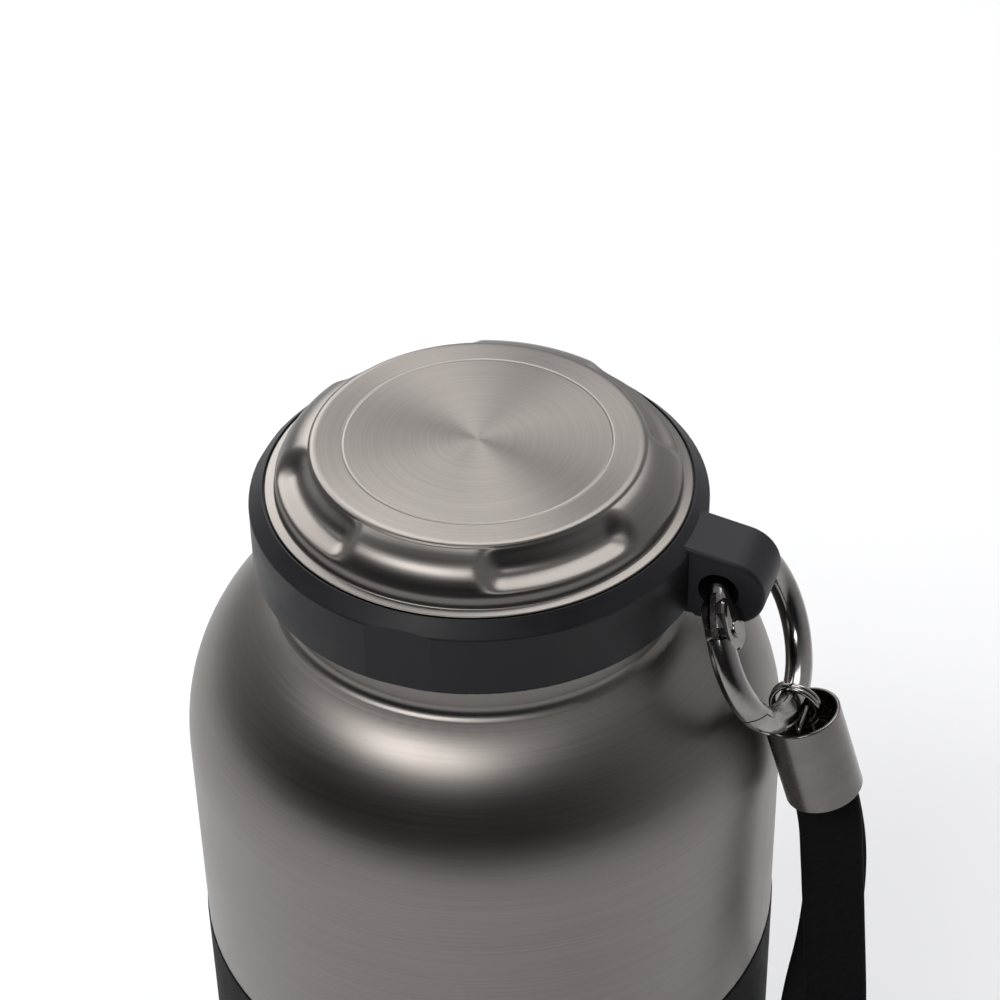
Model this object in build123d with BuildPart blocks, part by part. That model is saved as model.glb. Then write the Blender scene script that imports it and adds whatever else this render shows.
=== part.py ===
from build123d import *
from math import asin, atan2, cos, degrees, hypot, radians, sin, sqrt, tan
import os

# Wide-mouth insulated canteen with a screw cap, a clip ring and a wrist strap.
# Millimetres. +Z is up, the origin is the middle of the face it stands on,
# and +X points from the bottle's axis towards the cap's strap lug.

# ---- driving dimensions -------------------------------------------------

# bottle
total_height = 255.0            # standing face to the top of the lid
body_radius = 62.0
shoulder_height = 183.5         # where the straight wall turns into the shoulder
shoulder_radius = 41.9
neck_radius = 41.0
neck_fillet = 3.0
rim_drop = 15.0                 # lid top down to the neck's rim
shell_wall = 0.8
liner_wall = 0.7
body_vacuum_gap = 2.6
neck_vacuum_gap = 1.9
shell_corner = 5.0
base_opening_radius = 55.0
base_plate_lap = 1.5
base_plate_rise = 2.8
base_plate_slope = 5.0
liner_lift = 7.5                # shell underside up to the liner underside
liner_corner = 12.0
getter_radius = 5.0
getter_height = 1.6
getter_offset = 20.0

# silicone boot
boot_wall = 1.1
boot_proud = 0.25               # boot's face beyond the bare steel wall
boot_floor = 2.0
boot_height = 134.5
boot_hole_radius = 30.0
boot_clearance = 0.05
boot_edge = 0.7
boot_gap = 0.2                  # boot's top edge up to the step in the steel

# screw thread between neck and plug
thread_starts = 4
thread_lead = 16.0
thread_arc = 84.0
neck_ridge_height = 1.1
plug_ridge_height = 1.05
ridge_root = 1.9
ridge_tip = 1.1
ridge_sink = 0.3
thread_drop = 13.0              # rim down to the bottom of the neck's ridges
plug_clearance = 1.3            # neck wall to plug wall

# cap
collar_radius = 45.6
collar_drop = 26.2              # lid top down to the skirt's lower edge
collar_shoulder_drop = 12.6     # lid top down to the top of the skirt's wall
collar_mouth_drop = 9.7         # lid top down to the edge around the lid
collar_web = 3.0
collar_web_bore = 31.0
collar_edge = 0.7
skirt_clearance = 0.4
flat_depth = 0.5
gasket_height = 1.5
gasket_width = 4.0
gasket_gap = 0.05
gasket_edge = 0.3
plug_depth = 25.6
plug_wall = 2.8
plug_floor = 2.2
plug_edge = 0.8
foam_clearance = 0.2
cover_thickness = 0.8
cover_inset = 0.8

# pressed steel lid
lid_wall = 1.0
lid_radius = 40.1
lid_side_drop = 6.8
lid_disc_radius = 32.0
lid_edge_drop = 0.4
lid_ring_radius = 26.5
lid_ring_width = 0.5
lid_ring_depth = 0.25
lid_bulge = 1.0
flange_thickness = 0.9
flange_clearance = 0.2
scoop_count = 4
scoop_radius = 5.2
scoop_circle = 38.2
scoop_drop = 0.8
scoop_half_arc = 25.0
scoop_end = 0.9                 # how round the ends are, of the scoop's own radius

# strap lug on the collar
lug_thickness = 12.8
lug_reach = 14.8                # beyond the collar wall
lug_drop = 28.0                 # lid top down to the lug's underside
lug_nose = 7.4
lug_root_drop = 10.9            # lid top down to the lug's top where it leaves the collar
lug_slope = 9.0                 # fall of the lug's top, in degrees
lug_edge = 0.9
eye_radius = 4.1
eye_reach = 5.6                 # collar wall to the middle of the eye
eye_drop = 20.3                 # lid top to the middle of the eye

# clip ring with a sprung gate
clip_radius = 16.8
clip_width = 5.8                # across the wire, in the ring's plane
clip_depth = 5.4                # across the wire, square to the ring's plane
clip_lean = 26.0                # how far the ring stands out from hanging plumb
clip_sag = 0.6                  # the wire's top above the middle of the eye
pivot_angle = 47.0              # from the eye round to the gate's rivet
pivot_inset = 2.2
fork_angle = 36.0               # where the cheeks start to widen
cheek_radius = 4.1
cheek_side = 1.6
cheek_edge = 0.4
gate_gap = 0.25
gate_reach = 20.5               # rivet to the gate's nose
gate_start = 7.0
ledge_reach = 18.4
ledge_offset = 0.2
tongue_radius = 3.6
tongue_thickness = 1.5
tongue_floor = 1.5              # lever's inner side, in from the wire's middle line
tongue_face = 1.7               # lever's outer side, out from the wire's middle line
tongue_top = 28.5
tongue_foot = 76.0
slot_top = 26.0
slot_floor = 1.8
slot_clearance = 0.15
slot_margin = 0.7
pin_radius = 0.95
pin_clearance = 0.05
pin_head_radius = 1.8
pin_head_height = 0.5
pin_head_edge = 0.3
spring_top = 26.2
spring_foot = 53.0
spring_lift = 2.0               # leaf's inner face, out from the wire's middle line
spring_thickness = 0.4
spring_width = 1.2

# split ring between the clip and the end cap
coil_radius = 4.85
coil_wire = 1.1
coil_pitch = 1.15
coil_turns = 1.9
coil_drop = 1.2                 # clip wire's middle to the coil's middle
coil_lean = 30.0                # the coil is pushed out from under the clip

# bell-shaped end cap and the clamp in it
bell_radius = 8.0
bell_length = 20.0
bell_wall = 0.8
bell_lean = 17.0
bell_edge = 0.3
bell_rim_rise = 1.3             # rim above the clamp's eye bar
clamp_length = 9.0
clamp_drop = 7.5                # bell rim down to the clamp's block
clamp_clearance = 0.2
eye_bar_radius = 0.8
eye_bar_half_span = 3.6
staple_root = 1.0               # staple's feet sunk in the clamp's block
eye_clearance = 0.15

# wrist strap
strap_width = 13.0
strap_thickness = 1.8
strap_lead = 8.0                # straight stretch out of the clamp
strap_turn = 20.0               # the band's faces, turned about the upright

# ---- derived places -----------------------------------------------------

shell_bottom = boot_floor
boot_radius = body_radius + boot_proud
boot_sink = boot_wall + boot_clearance - boot_proud
rim_height = total_height - rim_drop
shoulder_centre = body_radius - shoulder_radius
shell_inner_radius = body_radius - shell_wall
neck_inner_radius = neck_radius - shell_wall
liner_radius = shell_inner_radius - body_vacuum_gap
liner_neck_radius = neck_inner_radius - neck_vacuum_gap
liner_bore = liner_neck_radius - liner_wall
liner_bottom = shell_bottom + liner_lift
plug_radius = liner_bore - plug_clearance
web_bottom = rim_height + gasket_height + 2 * gasket_gap
web_top = web_bottom + collar_web
plug_bottom = web_bottom - plug_depth
skirt_inner_radius = neck_radius + skirt_clearance
collar_bottom = total_height - collar_drop
thread_pitch = thread_lead / thread_starts
thread_base = rim_height - thread_drop

os.makedirs("parts", exist_ok=True)


def save(piece, name):
    """Label one finished piece and write it to its own STEP file."""
    piece.label = name
    export_step(piece, f"parts/{name}.step")


# ---- bottle -------------------------------------------------------------

def bottle_outline(wall_radius, neck, low, high, corner, neck_round, sink=0.0, step=0.0):
    """Half section of a bottle shape: floor, wall sunk below the step, domed shoulder and neck."""
    dome = wall_radius - shoulder_centre
    meet = shoulder_height + sqrt(dome**2 - (neck - shoulder_centre) ** 2)
    arc = degrees(atan2(meet - shoulder_height, neck - shoulder_centre))
    with BuildSketch() as outline:
        with BuildLine():
            if sink:
                Polyline(
                    (0, low),
                    (wall_radius - sink, low),
                    (wall_radius - sink, step),
                    (wall_radius, step),
                    (wall_radius, shoulder_height),
                )
            else:
                Polyline((0, low), (wall_radius, low), (wall_radius, shoulder_height))
            CenterArc((shoulder_centre, shoulder_height), dome, 0, arc)
            Line((neck, meet), (neck, high))
            Line((neck, high), (0, high))
            Line((0, high), (0, low))
        make_face()
        fillet(outline.vertices().sort_by_distance((wall_radius - sink, low))[0], corner)
        fillet(outline.vertices().sort_by_distance((neck, meet))[0], neck_round)
    return outline.sketch


with BuildPart() as outer_shell:
    with BuildSketch(Plane.XZ):
        add(
            bottle_outline(
                body_radius,
                neck_radius,
                shell_bottom,
                rim_height,
                shell_corner,
                neck_fillet,
                boot_sink,
                boot_height + boot_gap,
            )
        )
        add(
            bottle_outline(
                shell_inner_radius,
                neck_inner_radius,
                shell_bottom + shell_wall,
                rim_height - shell_wall,
                shell_corner - shell_wall,
                neck_fillet + shell_wall,
                boot_sink,
                boot_height + boot_gap + shell_wall,
            ),
            mode=Mode.SUBTRACT,
        )
        with Locations((0, rim_height - shell_wall)):
            Rectangle(liner_neck_radius, shell_wall, align=(Align.MIN, Align.MIN), mode=Mode.SUBTRACT)
        with Locations((0, shell_bottom)):
            Rectangle(base_opening_radius, shell_wall, align=(Align.MIN, Align.MIN), mode=Mode.SUBTRACT)
    revolve(axis=Axis.Z)
save(outer_shell.part, "outer_shell")


def helical_ridge(root_radius, height, start_height, start_angle):
    """One start of a right-hand thread; a positive height stands outwards."""
    rise = thread_lead * thread_arc / 360
    outward = 1 if height > 0 else -1
    sunk_radius = root_radius - outward * ridge_sink
    tall = abs(height) + ridge_sink
    with BuildPart(mode=Mode.PRIVATE) as ridge:
        with BuildLine() as helix:
            Helix(pitch=thread_lead, height=rise, radius=sunk_radius)
        start = Plane(origin=helix.line @ 0, x_dir=(outward, 0, 0), z_dir=helix.line % 0)
        with BuildSketch(start):
            with BuildLine():
                Polyline(
                    (0, -ridge_root / 2),
                    (tall, -ridge_tip / 2),
                    (tall, ridge_tip / 2),
                    (0, ridge_root / 2),
                    close=True,
                )
            make_face()
        sweep(path=helix.line, is_frenet=True)
    return ridge.part.moved(Location((0, 0, start_height), (0, 0, start_angle)))


with BuildPart() as inner_liner:
    with BuildSketch(Plane.XZ):
        add(
            bottle_outline(
                liner_radius,
                liner_neck_radius,
                liner_bottom,
                rim_height,
                liner_corner,
                neck_fillet,
            )
        )
        add(
            bottle_outline(
                liner_radius - liner_wall,
                liner_bore,
                liner_bottom + liner_wall,
                rim_height + liner_wall,
                liner_corner - liner_wall,
                neck_fillet + liner_wall,
            ),
            mode=Mode.SUBTRACT,
        )
    revolve(axis=Axis.Z)
    for start in range(thread_starts):
        add(helical_ridge(liner_bore, -neck_ridge_height, thread_base, 360 / thread_starts * start))
save(inner_liner.part, "inner_liner")

base_dish_radius = base_opening_radius - base_plate_slope
with BuildPart() as base_plate:
    with BuildSketch(Plane.XZ):
        low = shell_bottom + shell_wall
        with BuildLine():
            Polyline(
                (0, low + base_plate_rise),
                (base_dish_radius, low + base_plate_rise),
                (base_opening_radius, low),
                (base_opening_radius + base_plate_lap, low),
                (base_opening_radius + base_plate_lap, low + shell_wall),
                (base_opening_radius, low + shell_wall),
                (base_dish_radius, low + base_plate_rise + shell_wall),
                (0, low + base_plate_rise + shell_wall),
                close=True,
            )
        make_face()
    revolve(axis=Axis.Z)
save(base_plate.part, "base_plate")

base_plate_top = shell_bottom + 2 * shell_wall + base_plate_rise
with BuildPart() as vacuum_getter:
    with BuildSketch(Plane.XY.offset(base_plate_top)):
        with Locations((getter_offset, 0)):
            Circle(getter_radius)
    extrude(amount=getter_height)
save(vacuum_getter.part, "vacuum_getter")

boot_inner_radius = boot_radius - boot_wall
with BuildPart() as boot:
    with BuildSketch(Plane.XZ) as section:
        Rectangle(boot_radius, boot_height, align=(Align.MIN, Align.MIN))
        fillet(section.vertices().group_by(Axis.X)[-1].sort_by(Axis.Y)[0], shell_corner + boot_wall)
        with BuildSketch(mode=Mode.PRIVATE) as inside:
            with Locations((0, boot_floor)):
                Rectangle(boot_inner_radius, boot_height, align=(Align.MIN, Align.MIN))
            fillet(inside.vertices().group_by(Axis.X)[-1].sort_by(Axis.Y)[0], shell_corner)
        add(inside.sketch, mode=Mode.SUBTRACT)
        Rectangle(boot_hole_radius, boot_floor, align=(Align.MIN, Align.MIN), mode=Mode.SUBTRACT)
    revolve(axis=Axis.Z)
    fillet(boot.edges().group_by(Axis.Z)[-1].sort_by(SortBy.LENGTH)[-1], boot_edge)
save(boot.part, "protective_boot")

# ---- cap ----------------------------------------------------------------

lid_side_height = total_height - lid_side_drop
collar_shoulder = total_height - collar_shoulder_drop
collar_mouth = total_height - collar_mouth_drop
flange_radius = collar_radius - (collar_shoulder_drop - collar_mouth_drop) - flange_clearance
lid_mouth_radius = flange_radius + flange_clearance
lid_disc_height = total_height - lid_edge_drop


def lid_outline(inset):
    """Half section of the lid pressing, drawn in by its wall for the hollow."""
    side = lid_radius - inset
    crown = lid_disc_radius - inset / 2
    foot = web_top + flange_thickness - inset
    middle = ((crown + side) / 2, (lid_disc_height + lid_side_height) / 2 - inset)
    slope = hypot(side - crown, lid_disc_height - lid_side_height)
    bulge_x = middle[0] + lid_bulge * (lid_disc_height - lid_side_height) / slope
    bulge_z = middle[1] + lid_bulge * (side - crown) / slope
    with BuildSketch() as outline:
        with BuildLine():
            Line((0, foot), (0, total_height - inset))
            Line((0, total_height - inset), (crown, total_height - inset))
            Line((crown, total_height - inset), (crown, lid_disc_height - inset))
            ThreePointArc(
                (crown, lid_disc_height - inset),
                (bulge_x, bulge_z),
                (side, lid_side_height - inset),
            )
            Line((side, lid_side_height - inset), (side, foot))
            Line((side, foot), (0, foot))
        make_face()
    return outline.sketch


def finger_scoop(radius):
    """Sausage-shaped cutter that follows the lid's shoulder."""
    half_arc = scoop_half_arc + degrees(radius / scoop_circle)
    with BuildPart(mode=Mode.PRIVATE) as scoop:
        with BuildSketch(Plane.XZ.rotated((0, 0, -half_arc))):
            with Locations((scoop_circle, total_height - scoop_drop)):
                Circle(radius)
        revolve(axis=Axis.Z, revolution_arc=2 * half_arc)
        fillet(scoop.edges().filter_by(GeomType.CIRCLE).group_by(SortBy.RADIUS)[0], scoop_end * radius)
    return scoop.part


shallow_scoop = finger_scoop(scoop_radius)
deep_scoop = finger_scoop(scoop_radius + lid_wall)

with BuildPart(mode=Mode.PRIVATE) as lid_hollow:
    with BuildSketch(Plane.XZ):
        add(lid_outline(lid_wall))
        with Locations((0, web_top)):
            Rectangle(lid_radius - lid_wall, flange_thickness, align=(Align.MIN, Align.MIN))
    revolve(axis=Axis.Z)
    with PolarLocations(0, scoop_count, start_angle=180 / scoop_count):
        add(deep_scoop, mode=Mode.SUBTRACT)

with BuildPart() as lid_top:
    with BuildSketch(Plane.XZ):
        add(lid_outline(0))
        with Locations((0, web_top)):
            Rectangle(flange_radius, flange_thickness, align=(Align.MIN, Align.MIN))
    revolve(axis=Axis.Z)
    with BuildSketch(Plane.XZ):
        with Locations((lid_ring_radius, total_height)):
            Rectangle(lid_ring_width, 2 * lid_ring_depth)
    revolve(axis=Axis.Z, mode=Mode.SUBTRACT)
    with PolarLocations(0, scoop_count, start_angle=180 / scoop_count):
        add(shallow_scoop, mode=Mode.SUBTRACT)
    add(lid_hollow.part, mode=Mode.SUBTRACT)
save(lid_top.part, "lid_top")

lug_end = collar_radius + lug_reach
lug_root = skirt_inner_radius + flat_depth
lug_bottom = total_height - lug_drop
lug_step = 2 * flat_depth
lug_top = total_height - lug_root_drop
lug_fall = (lug_end - lug_root) * tan(radians(lug_slope))
eye_x = collar_radius + eye_reach
eye_z = total_height - eye_drop
with BuildPart(mode=Mode.PRIVATE) as strap_lug:
    with BuildSketch(Plane.XZ.offset(-lug_thickness / 2)) as lug_side:
        with BuildLine():
            Polyline(
                (lug_root, lug_bottom + lug_step),
                (collar_radius, lug_bottom + lug_step),
                (collar_radius + lug_step, lug_bottom),
                (lug_end, lug_bottom),
                (lug_end, lug_top - lug_fall),
                (lug_root, lug_top),
                close=True,
            )
        make_face()
        nose = lug_side.vertices().group_by(Axis.X)[-1]
        fillet(nose, lug_nose)
    extrude(amount=lug_thickness)
    rims = strap_lug.faces().sort_by(Axis.Y)[0].edges() + strap_lug.faces().sort_by(Axis.Y)[-1].edges()
    fillet(rims.filter_by(lambda edge: edge.center().X > collar_radius), lug_edge)

with BuildPart() as cap_collar:
    with BuildSketch(Plane.XZ) as collar_section:
        with BuildLine():
            Polyline(
                (skirt_inner_radius, collar_bottom),
                (collar_radius, collar_bottom),
                (collar_radius, collar_shoulder),
                (lid_mouth_radius + flange_clearance, collar_mouth),
                (lid_mouth_radius, collar_mouth),
                (lid_mouth_radius, web_top),
                (collar_web_bore, web_top),
                (collar_web_bore, web_bottom),
                (skirt_inner_radius, web_bottom),
                close=True,
            )
        make_face()
        rim_corners = collar_section.vertices().group_by(Axis.X)[-1]
        fillet(rim_corners, collar_edge)
    revolve(axis=Axis.Z)
    with PolarLocations(collar_radius, 3, start_angle=90, angular_range=270):
        with Locations((-flat_depth, 0, collar_bottom)):
            Box(
                2 * flat_depth,
                collar_radius,
                collar_drop,
                align=(Align.MIN, Align.CENTER, Align.MIN),
                mode=Mode.SUBTRACT,
            )
    add(strap_lug.part)
    with Locations(Location((eye_x, 0, eye_z), (90, 0, 0))):
        Cylinder(eye_radius, lug_thickness, mode=Mode.SUBTRACT)
save(cap_collar.part, "cap_collar")

with BuildPart() as cap_plug:
    with BuildSketch(Plane.XZ):
        with BuildLine():
            Polyline(
                (0, plug_bottom),
                (plug_radius, plug_bottom),
                (plug_radius, web_bottom),
                (plug_radius - plug_wall, web_bottom),
                (plug_radius - plug_wall, plug_bottom + plug_floor),
                (0, plug_bottom + plug_floor),
                close=True,
            )
        make_face()
    revolve(axis=Axis.Z)
    fillet(cap_plug.edges().group_by(Axis.Z)[0], plug_edge)
    for start in range(thread_starts):
        turn = 360 / thread_starts * start
        add(helical_ridge(plug_radius, plug_ridge_height, thread_base - thread_pitch / 2, turn))
save(cap_plug.part, "cap_plug")

with BuildPart() as plug_foam:
    with BuildSketch(Plane.XY.offset(plug_bottom + plug_floor + foam_clearance)):
        Circle(plug_radius - plug_wall - foam_clearance)
    extrude(amount=web_bottom - plug_bottom - plug_floor - 2 * foam_clearance)
save(plug_foam.part, "plug_foam")

with BuildPart() as plug_cover:
    with BuildSketch(Plane.XZ):
        cover_top = plug_bottom
        cover_low = cover_top - cover_thickness
        with BuildLine():
            Polyline(
                (0, cover_top),
                (plug_radius - cover_inset - plug_edge, cover_top),
                (plug_radius - cover_inset - plug_edge, cover_low),
                (0, cover_low),
                close=True,
            )
        make_face()
    revolve(axis=Axis.Z)
save(plug_cover.part, "plug_cover")

with BuildPart() as cap_gasket:
    with BuildSketch(Plane.XY.offset(rim_height + gasket_gap)):
        Circle(neck_radius)
        Circle(neck_radius - gasket_width, mode=Mode.SUBTRACT)
    extrude(amount=gasket_height)
    fillet(cap_gasket.edges(), gasket_edge)
save(cap_gasket.part, "cap_gasket")

# ---- clip ring ----------------------------------------------------------

lean = radians(clip_lean)
clip_up = Vector(-sin(lean), 0, cos(lean))
clip_normal = Vector(cos(lean), 0, sin(lean))
eye_centre = Vector(eye_x, 0, eye_z)
clip_centre = eye_centre - clip_up * (clip_radius - clip_sag)
clip_plane = Plane(origin=clip_centre, x_dir=(0, 1, 0), z_dir=clip_normal)
clip_axis = Axis(clip_centre, clip_normal)
pivot_turn = 90 + pivot_angle
pivot_radius = clip_radius - pivot_inset
pivot_x = pivot_radius * cos(radians(pivot_turn))
pivot_y = pivot_radius * sin(radians(pivot_turn))
fork_turn = 90 + fork_angle
fork_x = clip_radius * cos(radians(fork_turn))
fork_y = clip_radius * sin(radians(fork_turn))
slot_thickness = tongue_thickness + 2 * slot_clearance
cheek_depth = slot_thickness + 2 * cheek_side
slot_radius = cheek_radius + slot_margin
rim_radius = clip_radius + clip_width / 2
ledge_radius = clip_radius + ledge_offset
nose_turn = pivot_turn + 2 * degrees(asin(ledge_reach / (2 * clip_radius)))
nose_overlap = 12.0


def clip_section(turn):
    """Plane that cuts across the ring's wire at one angle round the ring."""
    outward = clip_plane.x_dir * cos(radians(turn)) + clip_plane.y_dir * sin(radians(turn))
    return Plane(origin=clip_centre, x_dir=outward, z_dir=outward.cross(clip_normal))


def clip_wire(start_turn, end_turn):
    """Stretch of the clip's oval wire between two angles round the ring."""
    with BuildPart(mode=Mode.PRIVATE) as wire:
        with BuildSketch(clip_section(start_turn)):
            with Locations((clip_radius, 0)):
                Ellipse(clip_width / 2, clip_depth / 2)
        revolve(axis=clip_axis, revolution_arc=end_turn - start_turn)
    return wire.part


def ring_bar(inner, outer, start_angle, end_angle, thickness):
    """Flat curved bar in the ring's plane between two radii, angles from the eye."""
    with BuildPart(mode=Mode.PRIVATE) as bar:
        with BuildSketch(clip_section(90 + start_angle)):
            with Locations(((inner + outer) / 2, 0)):
                Rectangle(outer - inner, thickness)
        revolve(axis=clip_axis, revolution_arc=end_angle - start_angle)
    return bar.part


def pivot_disc(radius, thickness):
    """Disc about the gate's rivet, centred on the ring's own plane."""
    with BuildPart(mode=Mode.PRIVATE) as disc:
        with BuildSketch(clip_plane.offset(-thickness / 2)):
            with Locations((pivot_x, pivot_y)):
                Circle(radius)
        extrude(amount=thickness)
    return disc.part


def nose_profile(gap):
    """Outline that the gate fills, stepped at its nose, or its room with a gap."""
    with BuildSketch() as outline:
        with Locations((pivot_x, pivot_y)):
            Circle(gate_reach + gap)
        Circle(ledge_radius + gap, mode=Mode.INTERSECT)
        with Locations((pivot_x, pivot_y)):
            Circle(ledge_reach + gap)
        Rectangle(
            4 * clip_radius,
            2 * clip_radius,
            rotation=pivot_turn + gate_start,
            align=(Align.CENTER, Align.MIN),
            mode=Mode.INTERSECT,
        )
    return outline.sketch


with BuildPart(mode=Mode.PRIVATE) as cheeks:
    with BuildSketch(clip_plane):
        with Locations((fork_x, fork_y)):
            Circle(clip_width / 2)
        with Locations((pivot_x, pivot_y)):
            Circle(cheek_radius)
        make_hull()
        Circle(rim_radius - slot_clearance, mode=Mode.INTERSECT)
    extrude(amount=cheek_depth / 2 - cheek_edge, both=True)
    for side in (-1, 1):
        facing = cheeks.faces().sort_by(lambda face: side * face.center().dot(clip_normal))
        extrude(facing[-1], amount=cheek_edge, taper=45)

room_turn = nose_turn - nose_overlap
lever_bar = ring_bar(
    clip_radius - tongue_floor,
    clip_radius + tongue_face,
    tongue_top,
    tongue_foot,
    tongue_thickness,
)
slot_bar = ring_bar(
    clip_radius - slot_floor,
    clip_radius + clip_width,
    slot_top,
    pivot_angle,
    slot_thickness,
)
with BuildPart(mode=Mode.PRIVATE) as head_seats:
    add(pivot_disc(pin_head_radius + pin_clearance, 2 * clip_depth))
    add(pivot_disc(cheek_radius, cheek_depth), mode=Mode.SUBTRACT)

with BuildPart() as clip_body:
    add(clip_wire(room_turn, 360 + pivot_turn))
    with BuildSketch(clip_plane):
        add(nose_profile(gate_gap))
    extrude(amount=clip_depth, both=True, mode=Mode.SUBTRACT)
    add(cheeks.part)
    add(pivot_disc(slot_radius, slot_thickness), mode=Mode.SUBTRACT)
    add(slot_bar, mode=Mode.SUBTRACT)
    add(head_seats.part, mode=Mode.SUBTRACT)
    add(pivot_disc(pin_radius, 2 * clip_depth), mode=Mode.SUBTRACT)
save(clip_body.part, "clip_body")

with BuildPart() as clip_gate:
    add(clip_wire(pivot_turn + gate_start, nose_turn + nose_overlap))
    with BuildSketch(clip_plane):
        add(nose_profile(0))
    extrude(amount=clip_depth, both=True, mode=Mode.INTERSECT)
    add(pivot_disc(cheek_radius + gate_gap, 2 * clip_depth), mode=Mode.SUBTRACT)
    add(lever_bar)
    add(pivot_disc(tongue_radius, tongue_thickness))
    add(pivot_disc(pin_radius + pin_clearance, 2 * clip_depth), mode=Mode.SUBTRACT)
save(clip_gate.part, "clip_gate")

with BuildPart() as gate_pin:
    add(pivot_disc(pin_radius, cheek_depth))
    for side in (-1, 1):
        with BuildSketch(clip_plane.offset(side * cheek_depth / 2)):
            with Locations((pivot_x, pivot_y)):
                Circle(pin_head_radius)
        head = extrude(amount=side * pin_head_height)
        outer_faces = head.faces().sort_by(lambda face: side * face.center().dot(clip_normal))
        fillet(outer_faces[-1].edges(), pin_head_edge)
save(gate_pin.part, "gate_pin")

with BuildPart() as gate_spring:
    add(
        ring_bar(
            clip_radius + spring_lift,
            clip_radius + spring_lift + spring_thickness,
            spring_top,
            spring_foot,
            spring_width,
        )
    )
save(gate_spring.part, "gate_spring")

# ---- split ring, end cap and clamp --------------------------------------

clip_low = clip_centre - clip_up * clip_radius
coil_tilt = radians(coil_lean)
coil_down = Vector(sin(coil_tilt), 0, -cos(coil_tilt))
coil_centre = clip_low + coil_down * coil_drop
coil_height = coil_pitch * coil_turns
with BuildPart() as split_ring:
    coil_start = coil_centre - Vector(0, coil_height / 2, 0)
    with BuildLine() as coil_path:
        Helix(
            pitch=coil_pitch,
            height=coil_height,
            radius=coil_radius,
            center=coil_start,
            direction=(0, 1, 0),
        )
    with BuildSketch(Plane(origin=coil_path.line @ 0, z_dir=coil_path.line % 0)):
        Circle(coil_wire / 2)
    sweep(path=coil_path.line, is_frenet=True)
save(split_ring.part, "split_ring")

bell_tilt = radians(bell_lean)
bell_up = Vector(-sin(bell_tilt), 0, cos(bell_tilt))
bar_rise = coil_wire / 2 + eye_bar_radius + eye_clearance
eye_bar = coil_centre + coil_down * (coil_radius - bar_rise)
bell_side = Vector(cos(bell_tilt), 0, sin(bell_tilt))
bell_plane = Plane(origin=eye_bar + bell_up * bell_rim_rise, x_dir=bell_side, z_dir=bell_up)

with BuildPart() as bell_cap:
    with BuildSketch(bell_plane):
        Circle(bell_radius)
        Circle(bell_radius - bell_wall, mode=Mode.SUBTRACT)
    extrude(amount=-bell_length)
    fillet(bell_cap.edges().filter_by(GeomType.CIRCLE), bell_edge)
save(bell_cap.part, "bell_cap")

leg_length = clamp_drop - bell_rim_rise
with BuildPart() as strap_clamp:
    with BuildSketch(bell_plane.offset(-clamp_drop)):
        Circle(bell_radius - bell_wall - clamp_clearance)
    extrude(amount=-clamp_length)
    with BuildLine(bell_plane.offset(-clamp_drop)) as staple:
        FilletPolyline(
            (0, -eye_bar_half_span, -staple_root),
            (0, -eye_bar_half_span, leg_length),
            (0, eye_bar_half_span, leg_length),
            (0, eye_bar_half_span, -staple_root),
            radius=2 * eye_bar_radius,
        )
    with BuildSketch(Plane(origin=staple.line @ 0, z_dir=staple.line % 0)):
        Circle(eye_bar_radius)
    sweep(path=staple.line)
save(strap_clamp.part, "strap_clamp")

# ---- wrist strap --------------------------------------------------------

clamp_foot = bell_plane.origin - bell_up * (clamp_drop + clamp_length)
strap_side = Vector(cos(radians(strap_turn)), sin(radians(strap_turn)), 0)
half_strap = bell_up.cross(strap_side).normalized() * (strap_thickness / 2 + eye_clearance)
strap_way_in = clamp_foot - bell_up * strap_lead
strap_route = [
    clamp_foot - half_strap,
    strap_way_in - half_strap,
    (76.4, -1.5, 165.0),
    (78.1, -2.0, 145.0),
    (80.6, -4.0, 121.0),
    (82.0, -10.0, 98.0),
    (82.8, -18.0, 75.0),
    (82.6, -23.5, 54.0),
    (80.5, -15.0, 35.0),
    (77.0, 7.0, 32.5),
    (73.6, 21.0, 46.0),
    (71.2, 20.5, 68.0),
    (70.4, 13.0, 92.0),
    (72.8, 5.0, 117.0),
    (76.4, 2.4, 142.0),
    (76.6, 2.6, 162.0),
    strap_way_in + half_strap,
    clamp_foot + half_strap,
]
arc_share = 0.45
points = [Vector(point) for point in strap_route]
strap_radii = []
for before, corner, after in zip(points, points[1:], points[2:]):
    turn = radians((corner - before).get_angle(after - corner))
    shorter = min((corner - before).length, (after - corner).length)
    strap_radii.append(arc_share * shorter / tan(turn / 2))

with BuildPart() as strap:
    with BuildLine() as strap_path:
        FilletPolyline(*points, radius=strap_radii)
    with BuildSketch(Plane(origin=points[0], x_dir=strap_side, z_dir=strap_path.line % 0)):
        Rectangle(strap_width, strap_thickness)
    sweep(path=strap_path.line)
save(strap.part, "wrist_strap")
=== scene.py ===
import bpy
import bmesh
from math import cos, pi, radians, sin
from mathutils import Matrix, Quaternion, Vector


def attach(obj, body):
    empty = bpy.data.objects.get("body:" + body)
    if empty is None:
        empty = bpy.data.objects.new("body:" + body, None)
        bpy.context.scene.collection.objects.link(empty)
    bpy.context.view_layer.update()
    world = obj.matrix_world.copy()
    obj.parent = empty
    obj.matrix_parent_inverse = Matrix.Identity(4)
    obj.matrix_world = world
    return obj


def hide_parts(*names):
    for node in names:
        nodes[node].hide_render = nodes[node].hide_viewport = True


# A steel canteen with a screw cap, a clip ring and a wrist strap.
# Metres; the frame holds the hard pieces. This file dresses them, presses a smoother
# lid, weaves the strap and sets the studio.

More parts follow.
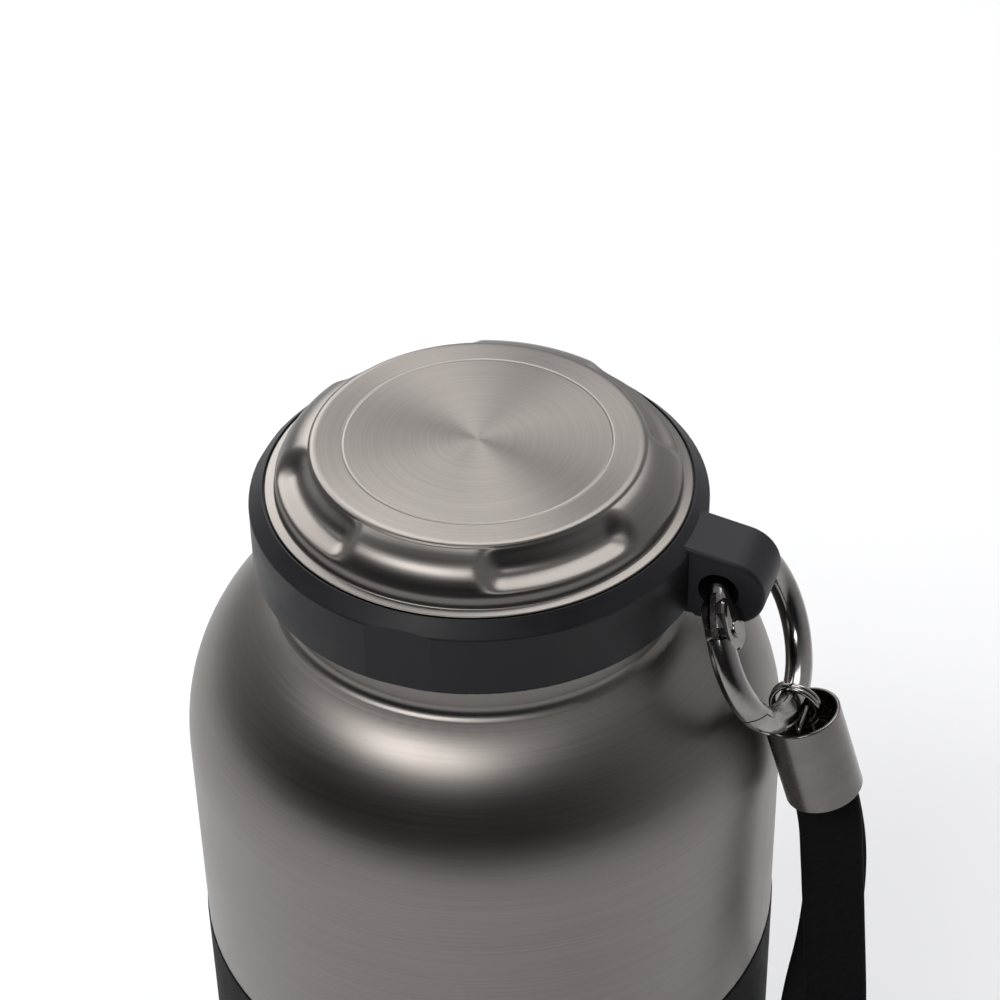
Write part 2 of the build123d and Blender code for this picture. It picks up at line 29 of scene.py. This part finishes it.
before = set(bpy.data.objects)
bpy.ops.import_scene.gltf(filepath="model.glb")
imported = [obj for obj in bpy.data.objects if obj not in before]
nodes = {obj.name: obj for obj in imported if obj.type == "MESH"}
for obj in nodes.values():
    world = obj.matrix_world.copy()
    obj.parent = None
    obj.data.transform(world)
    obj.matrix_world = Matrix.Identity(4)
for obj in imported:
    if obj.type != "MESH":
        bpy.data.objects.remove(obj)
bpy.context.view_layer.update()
print("frame loaded:", len(nodes), "nodes")


# camera

cameraSetup = {
    "position": (0.15838, -0.41695, 0.59329),
    "target": (0.00385, 0.00142, 0.23962),
    "roll": -1.258,             # degrees, turns the picture a little clockwise
    "lens": 103.32,             # mm on a 36 mm wide sensor
}


def placeCamera(setup):
    data = bpy.data.cameras.new("studioCamera")
    data.sensor_width = 36
    data.lens = setup["lens"]
    data.clip_start = 0.01
    data.clip_end = 20
    camera = bpy.data.objects.new("studioCamera", data)
    bpy.context.scene.collection.objects.link(camera)
    position = Vector(setup["position"])
    aim = (Vector(setup["target"]) - position).to_track_quat("-Z", "Y")
    camera.rotation_mode = "QUATERNION"
    camera.location = position
    camera.rotation_quaternion = aim @ Quaternion((0, 0, 1), radians(setup["roll"]))
    bpy.context.scene.camera = camera


placeCamera(cameraSetup)
print("camera placed")


# small helpers for meshes

def addPiece(name, mesh):
    piece = bpy.data.objects.new(name, mesh)
    bpy.context.scene.collection.objects.link(piece)
    return piece


def smoothFaces(mesh):
    mesh.polygons.foreach_set("use_smooth", [True] * len(mesh.polygons))


# wrist strap

strapSetup = {
    "width": 0.013,
    "thickness": 0.0018,
    "length": 0.3384,
    "route": [                  # from the clamp's foot down, round the loop and back up
        (0.072742, -0.000981, 0.186673),
        (0.075081, -0.000981, 0.179022),
        (0.0764, -0.0015, 0.165),
        (0.0781, -0.002, 0.145),
        (0.0806, -0.004, 0.121),
        (0.082, -0.01, 0.098),
        (0.0828, -0.018, 0.075),
        (0.0826, -0.0235, 0.054),
        (0.0805, -0.015, 0.035),
        (0.077, 0.007, 0.0325),
        (0.0736, 0.021, 0.046),
        (0.0712, 0.0205, 0.068),
        (0.0704, 0.013, 0.092),
        (0.0728, 0.005, 0.117),
        (0.0764, 0.0024, 0.142),
        (0.0766, 0.0026, 0.162),
        (0.074367, 0.000981, 0.178804),
        (0.072028, 0.000981, 0.186454),
    ],
    "turn": 20,                 # degrees, the band's faces about the upright
    "sideSteps": 9,             # points across one face of the band
    "edgeSteps": 4,             # points round each edge
}


def routeLine(route):
    curve = bpy.data.curves.new("strapRoute", "CURVE")
    curve.dimensions = "3D"
    spline = curve.splines.new("NURBS")
    spline.points.add(len(route) - 1)
    for point, place in zip(spline.points, route):
        point.co = (*place, 1)
    spline.order_u = 3
    spline.use_endpoint_u = True
    spline.resolution_u = 18
    holder = bpy.data.objects.new("strapRoute", curve)
    line = bpy.data.meshes.new_from_object(holder)
    places = [vertex.co.copy() for vertex in line.vertices]
    bpy.data.objects.remove(holder)
    bpy.data.curves.remove(curve)
    bpy.data.meshes.remove(line)
    return places


def bandSection(setup):
    # closed outline of the band, (across, through), with round edges
    half = setup["width"] / 2
    edge = setup["thickness"] / 2
    flat = half - edge
    outline = []
    for side in (1, -1):
        for step in range(setup["sideSteps"]):
            share = step / setup["sideSteps"]
            outline.append((side * flat * (2 * share - 1), -side * edge))
        for step in range(setup["edgeSteps"]):
            turn = -pi / 2 + pi * step / setup["edgeSteps"]
            outline.append((side * (flat + edge * cos(turn)), side * edge * sin(turn)))
    return outline


def weaveStrap(setup):
    line = routeLine(setup["route"])
    outline = bandSection(setup)
    mesh = bpy.data.meshes.new("wristStrap")
    shape = bmesh.new()
    mapping = shape.loops.layers.uv.new("cloth")
    rings = []
    gone = [0.0]
    side = Vector((cos(radians(setup["turn"])), sin(radians(setup["turn"])), 0))
    for index, place in enumerate(line):
        before = line[max(index - 1, 0)]
        after = line[min(index + 1, len(line) - 1)]
        tangent = (after - before).normalized()
        across = (side - tangent * side.dot(tangent)).normalized()
        through = tangent.cross(across)
        ring = [shape.verts.new(place + across * a + through * t) for a, t in outline]
        rings.append(ring)
        if index:
            gone.append(gone[-1] + (place - before).length)
    count = len(outline)
    around = [0.0]
    for index in range(count):
        a, b = outline[index], outline[(index + 1) % count]
        around.append(around[-1] + ((a[0] - b[0]) ** 2 + (a[1] - b[1]) ** 2) ** 0.5)
    for index in range(len(rings) - 1):
        for step in range(count):
            following = (step + 1) % count
            face = shape.faces.new((
                rings[index][step], rings[index][following],
                rings[index + 1][following], rings[index + 1][step]))
            marks = ((around[step], gone[index]), (around[step + 1], gone[index]),
                     (around[step + 1], gone[index + 1]), (around[step], gone[index + 1]))
            for loop, mark in zip(face.loops, marks):
                loop[mapping].uv = mark
    shape.faces.new(list(reversed(rings[0])))
    shape.faces.new(rings[-1])
    bmesh.ops.recalc_face_normals(shape, faces=shape.faces)
    shape.to_mesh(mesh)
    shape.free()
    smoothFaces(mesh)
    strap = addPiece("wristStrap", mesh)
    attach(strap, "tether")
    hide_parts("wrist_strap")
    return strap


wristStrap = weaveStrap(strapSetup)
print("strap woven")


# pressed lid

lidSetup = {
    "steps": 320,
    "top": 0.255,
    "discRadius": 0.0316,
    "ringRadius": 0.0265,
    "ringWidth": 0.0006,
    "ringDepth": 0.00012,
    "shoulderDrop": 0.0005,     # how far the disc's edge rolls down
    "roll": 0.0014,             # and over how wide a band
    "slopeAcross": 0.62,        # which way the slope faces: outward part
    "slopeUp": 0.78,            # and upward part
    "sideRadius": 0.0398,
    "sideHeight": 0.2484,       # where the slope turns into the upright wall
    "wallOut": 0.0003,          # upright wall beyond the slope's foot
    "bulge": 0.0011,
    "flangeRadius": 0.0423,
    "flangeTop": 0.2455,
    "flangeFoot": 0.2447,
    "flangeEdge": 0.0003,
    "wall": 0.001,
    "scoops": 4,
    "scoopArc": 27,             # degrees each side of a scoop's middle
    "scoopDepth": 0.0026,
    "scoopSoftness": 0.34,      # share of the arc that fades out
}


def lidProfile(setup):
    # (radius, height, share of the scoop's depth) from the middle to the flange
    top, disc = setup["top"], setup["discRadius"]
    points = [(disc * share / 12, top, 0) for share in range(1, 10)]
    ring, half = setup["ringRadius"], setup["ringWidth"] / 2
    points.append((ring - 1.4 * half, top, 0))
    for step in range(-2, 3):
        dip = setup["ringDepth"] * cos(pi * step / 4) ** 2
        points.append((ring + half * step / 2, top - dip, 0))
    points.append((ring + 1.4 * half, top, 0))
    points += [(disc * share, top, 0) for share in (0.92, 0.97, 0.995)]
    low = top - setup["shoulderDrop"]
    for step in range(6):
        turn = pi / 2 * step / 6
        points.append((disc + setup["roll"] * sin(turn),
                       top - setup["shoulderDrop"] * (1 - cos(turn)), 0))
    startR, endR, endZ = disc + setup["roll"], setup["sideRadius"], setup["sideHeight"]
    for step in range(29):
        share = step / 28
        lift = setup["bulge"] * 4 * share * (1 - share)
        radius = startR + (endR - startR) * share + lift * setup["slopeAcross"]
        height = low + (endZ - low) * share + lift * setup["slopeUp"]
        points.append((radius, height, sin(pi * min(share * 1.02, 1)) ** 1.3))
    wall = endR + setup["wallOut"]
    points += [(wall, endZ - 0.0007, 0), (wall, setup["flangeTop"] + 0.0006, 0),
               (wall + 0.0001, setup["flangeTop"] + 0.0002, 0),
               (wall + 0.0004, setup["flangeTop"], 0)]
    rim, edge = setup["flangeRadius"], setup["flangeEdge"]
    middle = (setup["flangeTop"] + setup["flangeFoot"]) / 2
    half = (setup["flangeTop"] - setup["flangeFoot"]) / 2
    for step in range(5):
        turn = pi * step / 4
        points.append((rim - edge + edge * sin(turn), middle + half * cos(turn), 0))
    return points


def scoopFade(turn, setup):
    # 1 in the middle of a scoop, fading to 0 at both its ends
    pitch = 360 / setup["scoops"]
    off = abs(turn % pitch - pitch / 2)
    share = (setup["scoopArc"] - off) / (setup["scoopArc"] * setup["scoopSoftness"])
    share = min(max(share, 0), 1)
    return share * share * (3 - 2 * share)


def pressLid(setup):
    outside = lidProfile(setup)
    wall = setup["wall"]
    inside = [(radius - wall * 0.7, height - wall, cut) for radius, height, cut in outside
              if height > setup["flangeTop"] + 0.0004]
    inside.append((inside[-1][0], setup["flangeFoot"], 0))
    mesh = bpy.data.meshes.new("pressedLid")
    shape = bmesh.new()
    rings = []
    for radius, height, cut in outside + inside[::-1]:
        ring = []
        for step in range(setup["steps"]):
            turn = 360 * step / setup["steps"]
            sink = setup["scoopDepth"] * cut * scoopFade(turn, setup)
            reach = radius - sink * setup["slopeAcross"]
            ring.append(shape.verts.new((
                reach * cos(radians(turn)), reach * sin(radians(turn)),
                height - sink * setup["slopeUp"])))
        rings.append(ring)
    for outer, inner in zip(rings, rings[1:]):
        for step in range(setup["steps"]):
            following = (step + 1) % setup["steps"]
            shape.faces.new((outer[step], inner[step], inner[following], outer[following]))
    for ring, height in ((rings[0], setup["top"]), (rings[-1], setup["top"] - wall)):
        middle = shape.verts.new((0, 0, height))
        for step in range(setup["steps"]):
            shape.faces.new((ring[step], ring[(step + 1) % setup["steps"]], middle))
    bmesh.ops.recalc_face_normals(shape, faces=shape.faces)
    shape.to_mesh(mesh)
    shape.free()
    smoothFaces(mesh)
    lid = addPiece("pressedLid", mesh)
    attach(lid, "cap")
    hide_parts("lid_top")
    return lid


pressedLid = pressLid(lidSetup)
print("lid pressed")


# node helpers

def addNode(tree, kind, sockets=None, **settings):
    made = tree.nodes.new(kind)
    for name, value in settings.items():
        setattr(made, name, value)
    for socket, value in (sockets or {}).items():
        if isinstance(value, bpy.types.NodeSocket):
            tree.links.new(value, made.inputs[socket])
        else:
            made.inputs[socket].default_value = value
    return made


def newMaterial(name, constants):
    material = bpy.data.materials.new(name)
    material.use_nodes = True
    tree = material.node_tree
    shader = tree.nodes["Principled BSDF"]
    for socket, value in constants.items():
        shader.inputs[socket].default_value = value
    return material, tree, shader


def maths(tree, operation, first, second=0.0):
    return addNode(tree, "ShaderNodeMath", {0: first, 1: second}, operation=operation).outputs[0]


def spread(tree, value, low, high, start=0.0, stop=1.0):
    # stretches a value from start..stop to low..high
    return addNode(tree, "ShaderNodeMapRange", {
        "Value": value, "From Min": start, "From Max": stop,
        "To Min": low, "To Max": high}).outputs["Result"]


def mixColours(tree, share, first, second):
    made = addNode(tree, "ShaderNodeMix", data_type="RGBA")
    sockets = [s for s in made.inputs if s.enabled]
    for socket, value in zip(sockets, (share, first, second)):
        if isinstance(value, bpy.types.NodeSocket):
            tree.links.new(value, socket)
        else:
            socket.default_value = value
    return [s for s in made.outputs if s.enabled][0]


def objectPlace(tree):
    return addNode(tree, "ShaderNodeTexCoord").outputs["Object"]


def noise(tree, place, size, detail=2.0, roughness=0.5):
    return addNode(tree, "ShaderNodeTexNoise", {
        "Vector": place, "Scale": 1 / size, "Detail": detail,
        "Roughness": roughness}).outputs["Fac"]


def turnedGrain(tree, length, width, detail=2.0):
    # noise drawn out round the Z axis: grain left by turning against a belt
    parts = addNode(tree, "ShaderNodeSeparateXYZ", {0: objectPlace(tree)}).outputs
    squares = maths(tree, "ADD", maths(tree, "MULTIPLY", parts[0], parts[0]),
                    maths(tree, "MULTIPLY", parts[1], parts[1]))
    radius = maths(tree, "SQRT", squares)
    slowX = maths(tree, "DIVIDE", parts[0], length)
    slowY = maths(tree, "DIVIDE", parts[1], length)
    quickZ = maths(tree, "DIVIDE", parts[2], width)
    quickR = maths(tree, "DIVIDE", radius, width)
    place = addNode(tree, "ShaderNodeCombineXYZ", {0: slowX, 1: slowY, 2: quickZ}).outputs[0]
    return addNode(tree, "ShaderNodeTexNoise", {
        "Vector": place, "W": quickR, "Scale": 1.0, "Detail": detail},
        noise_dimensions="4D").outputs["Fac"]


def addBump(tree, shader, height, depth, strength=1.0):
    bump = addNode(tree, "ShaderNodeBump", {
        "Height": height, "Distance": depth, "Strength": strength})
    tree.links.new(bump.outputs["Normal"], shader.inputs["Normal"])


# brushed steel

def brushedSteel(name, look):
    material, tree, shader = newMaterial(name, {
        "Metallic": 1.0, "Anisotropic": look["anisotropy"]})
    fine = turnedGrain(tree, look["grainLength"], look["grainWidth"])
    broad = turnedGrain(tree, look["bandLength"], look["bandWidth"])
    cloud = noise(tree, objectPlace(tree), look["cloudSize"], 3.0)
    grain = maths(tree, "ADD", maths(tree, "MULTIPLY", fine, 0.6),
                  maths(tree, "MULTIPLY", broad, 0.4))
    share = spread(tree, grain, 0.0, 1.0, 0.3, 0.7)
    colour = mixColours(tree, share, look["dark"], look["light"])
    tree.links.new(colour, shader.inputs["Base Color"])
    rough = maths(tree, "ADD", spread(tree, grain, *look["roughness"], 0.3, 0.7),
                  spread(tree, cloud, -look["cloudiness"], look["cloudiness"], 0.3, 0.7))
    tree.links.new(rough, shader.inputs["Roughness"])
    tangent = addNode(tree, "ShaderNodeTangent", direction_type="RADIAL", axis="Z")
    tree.links.new(tangent.outputs[0], shader.inputs["Tangent"])
    addBump(tree, shader, fine, look["grainDepth"], look["grainStrength"])
    return material


bodySteelLook = {
    "dark": (0.195, 0.178, 0.165, 1),
    "light": (0.245, 0.226, 0.21, 1),
    "roughness": (0.33, 0.41),
    "anisotropy": 0.7,
    "grainLength": 0.03,
    "grainWidth": 0.00016,
    "bandLength": 0.08,
    "bandWidth": 0.0006,
    "grainDepth": 0.00002,
    "grainStrength": 0.12,
    "cloudSize": 0.03,
    "cloudiness": 0.02,
}
lidSteelLook = dict(bodySteelLook, grainLength=0.02, anisotropy=0.75,
                    roughness=(0.34, 0.41))
linerSteelLook = dict(bodySteelLook, anisotropy=0.4, roughness=(0.3, 0.38))

bodySteel = brushedSteel("bodySteel", bodySteelLook)
lidSteel = brushedSteel("lidSteel", lidSteelLook)
linerSteel = brushedSteel("linerSteel", linerSteelLook)


# black plastic, rubber and foam

def mouldedBlack(name, look):
    material, tree, shader = newMaterial(name, look["constants"])
    place = objectPlace(tree)
    mottle = noise(tree, place, look["mottleSize"], 4.0, 0.6)
    speck = noise(tree, place, look["speckSize"], 2.0)
    colour = mixColours(tree, spread(tree, mottle, 0, 1, 0.3, 0.7), look["dark"], look["light"])
    tree.links.new(colour, shader.inputs["Base Color"])
    tree.links.new(spread(tree, mottle, *look["roughness"], 0.3, 0.7), shader.inputs["Roughness"])
    addBump(tree, shader, speck, look["speckDepth"], look["speckStrength"])
    return material


collarLook = {
    "constants": {"IOR": 1.48, "Specular IOR Level": 0.28},
    "dark": (0.008, 0.008, 0.0096, 1),
    "light": (0.013, 0.013, 0.0155, 1),
    "roughness": (0.42, 0.56),
    "mottleSize": 0.012,
    "speckSize": 0.0004,
    "speckDepth": 0.00004,
    "speckStrength": 0.25,
}
bootLook = dict(collarLook, constants={"IOR": 1.42, "Specular IOR Level": 0.12},
                dark=(0.003, 0.003, 0.0032, 1), light=(0.013, 0.013, 0.0135, 1),
                roughness=(0.6, 0.75), mottleSize=0.006, speckSize=0.0006)
plugLook = dict(collarLook, roughness=(0.35, 0.45))
sealLook = dict(collarLook, dark=(0.5, 0.5, 0.49, 1), light=(0.6, 0.6, 0.58, 1),
                roughness=(0.5, 0.6))
foamLook = dict(collarLook, dark=(0.55, 0.52, 0.45, 1), light=(0.75, 0.72, 0.66, 1),
                roughness=(0.85, 0.95), speckSize=0.0012, speckDepth=0.0003,
                speckStrength=0.8)

collarPlastic = mouldedBlack("collarPlastic", collarLook)
bootRubber = mouldedBlack("bootRubber", bootLook)
plugPlastic = mouldedBlack("plugPlastic", plugLook)
sealRubber = mouldedBlack("sealRubber", sealLook)
plugFoam = mouldedBlack("plugFoam", foamLook)


# black nickel of the clip, rings and end cap

def blackNickel(name, look):
    material, tree, shader = newMaterial(name, {"Metallic": 1.0})
    place = objectPlace(tree)
    mottle = noise(tree, place, look["mottleSize"], 4.0, 0.6)
    speck = noise(tree, place, look["speckSize"], 3.0)
    share = spread(tree, mottle, 0, 1, 0.3, 0.7)
    colour = mixColours(tree, share, look["dark"], look["light"])
    tree.links.new(colour, shader.inputs["Base Color"])
    tree.links.new(spread(tree, speck, *look["roughness"], 0.3, 0.7), shader.inputs["Roughness"])
    addBump(tree, shader, mottle, look["waveDepth"], look["waveStrength"])
    return material


polishedLook = {
    "dark": (0.25, 0.232, 0.225, 1),
    "light": (0.33, 0.31, 0.30, 1),
    "roughness": (0.12, 0.2),
    "mottleSize": 0.003,
    "speckSize": 0.0005,
    "waveDepth": 0.00006,
    "waveStrength": 0.2,
}
satinLook = dict(polishedLook, dark=(0.165, 0.152, 0.148, 1), light=(0.195, 0.18, 0.174, 1),
                 roughness=(0.22, 0.28), mottleSize=0.006, waveStrength=0.04)
springLook = dict(polishedLook, roughness=(0.2, 0.3))

polishedNickel = blackNickel("polishedNickel", polishedLook)
satinNickel = blackNickel("satinNickel", satinLook)
springSteel = blackNickel("springSteel", springLook)


# strap cloth

clothLook = {
    "dark": (0.0025, 0.0025, 0.003, 1),
    "light": (0.009, 0.009, 0.01, 1),
    "ribPitch": 0.0006,
    "pickPitch": 0.0005,
    "depth": 0.00012,
    "strength": 0.6,
    "sheen": 0.02,
    "shine": 0.1,
    "lintSize": 0.0009,
}


def strapCloth(name, look):
    material, tree, shader = newMaterial(name, {
        "Roughness": 0.9, "Specular IOR Level": look["shine"],
        "Sheen Weight": look["sheen"], "Sheen Roughness": 0.5})
    parts = addNode(tree, "ShaderNodeSeparateXYZ", {
        0: addNode(tree, "ShaderNodeTexCoord").outputs["UV"]}).outputs
    ribs = maths(tree, "SINE", maths(tree, "MULTIPLY", parts[0], 2 * pi / look["ribPitch"]))
    picks = maths(tree, "SINE", maths(tree, "MULTIPLY", parts[1], 2 * pi / look["pickPitch"]))
    weave = maths(tree, "MULTIPLY", ribs, picks)
    lint = noise(tree, objectPlace(tree), look["lintSize"], 4.0, 0.7)
    height = maths(tree, "ADD", maths(tree, "MULTIPLY", weave, 0.25), lint)
    share = spread(tree, height, 0, 1, 0.3, 0.95)
    colour = mixColours(tree, share, look["dark"], look["light"])
    tree.links.new(colour, shader.inputs["Base Color"])
    addBump(tree, shader, height, look["depth"], look["strength"])
    return material


blackCloth = strapCloth("blackCloth", clothLook)
wristStrap.data.materials.append(blackCloth)
pressedLid.data.materials.append(lidSteel)


# which piece wears what

finishes = {
    "outer_shell": bodySteel,
    "base_plate": bodySteel,
    "inner_liner": linerSteel,
    "vacuum_getter": linerSteel,
    "protective_boot": bootRubber,
    "plug_cover": lidSteel,
    "cap_collar": collarPlastic,
    "cap_plug": plugPlastic,
    "plug_foam": plugFoam,
    "cap_gasket": sealRubber,
    "clip_body": polishedNickel,
    "clip_gate": polishedNickel,
    "gate_pin": polishedNickel,
    "split_ring": polishedNickel,
    "bell_cap": satinNickel,
    "strap_clamp": satinNickel,
    "gate_spring": springSteel,
}


def dressNodes(choice):
    for name, material in choice.items():
        slots = nodes[name].material_slots
        for slot in slots:
            slot.material = material


dressNodes(finishes)
print("pieces dressed:", len(finishes))


# floor and light

studioSetup = {
    "floorSize": 4.0,
    "floorColour": (0.86, 0.86, 0.87, 1),
    "worldFront": (0.03, 0.03, 0.035, 1),
    "worldBack": (0.85, 0.85, 0.87, 1),
    "worldStrength": 0.8,
    "lamps": [
        # name, place, aims at, wide, high, watts
        ("leftBackLamp", (-0.85, 0.70, 0.95), (0, 0.2, 0.1), 0.8, 0.8, 9),
        ("topLamp", (0.08, 0.60, 1.35), (0, 0.3, 0.1), 0.8, 0.7, 7),
        ("frontLamp", (-0.2, -0.80, 1.15), (0, 0, 0.2), 0.8, 0.3, 7),
    ],
}


def layFloor(setup):
    mesh = bpy.data.meshes.new("studioFloor")
    half = setup["floorSize"] / 2
    corners = [(-half, -half, 0), (half, -half, 0), (half, half, 0), (-half, half, 0)]
    mesh.from_pydata(corners, [], [(0, 1, 2, 3)])
    floor = addPiece("studioFloor", mesh)
    material, tree, shader = newMaterial("paleFloor", {"Roughness": 0.8})
    shade = noise(tree, objectPlace(tree), 0.4, 2.0)
    colour = mixColours(tree, shade, setup["floorColour"], (0.9, 0.9, 0.9, 1))
    tree.links.new(colour, shader.inputs["Base Color"])
    mesh.materials.append(material)


def hangLamps(setup):
    for name, place, aim, wide, high, watts in setup["lamps"]:
        data = bpy.data.lights.new(name, "AREA")
        data.shape = "RECTANGLE"
        data.size = wide
        data.size_y = high
        data.energy = watts
        lamp = bpy.data.objects.new(name, data)
        bpy.context.scene.collection.objects.link(lamp)
        lamp.location = place
        lamp.rotation_euler = (Vector(aim) - Vector(place)).to_track_quat("-Z", "Y").to_euler()
    world = bpy.data.worlds.new("studioWorld")
    world.use_nodes = True
    background = world.node_tree.nodes["Background"]
    tree = world.node_tree
    parts = addNode(tree, "ShaderNodeSeparateXYZ", {
        0: addNode(tree, "ShaderNodeTexCoord").outputs["Generated"]}).outputs
    share = spread(tree, parts[1], 0.0, 1.0, -0.6, 0.8)
    colour = mixColours(tree, share, setup["worldFront"], setup["worldBack"])
    tree.links.new(colour, background.inputs["Color"])
    background.inputs["Strength"].default_value = setup["worldStrength"]
    bpy.context.scene.world = world


layFloor(studioSetup)
hangLamps(studioSetup)
bpy.context.scene.view_settings.view_transform = "Standard"
print("studio set")
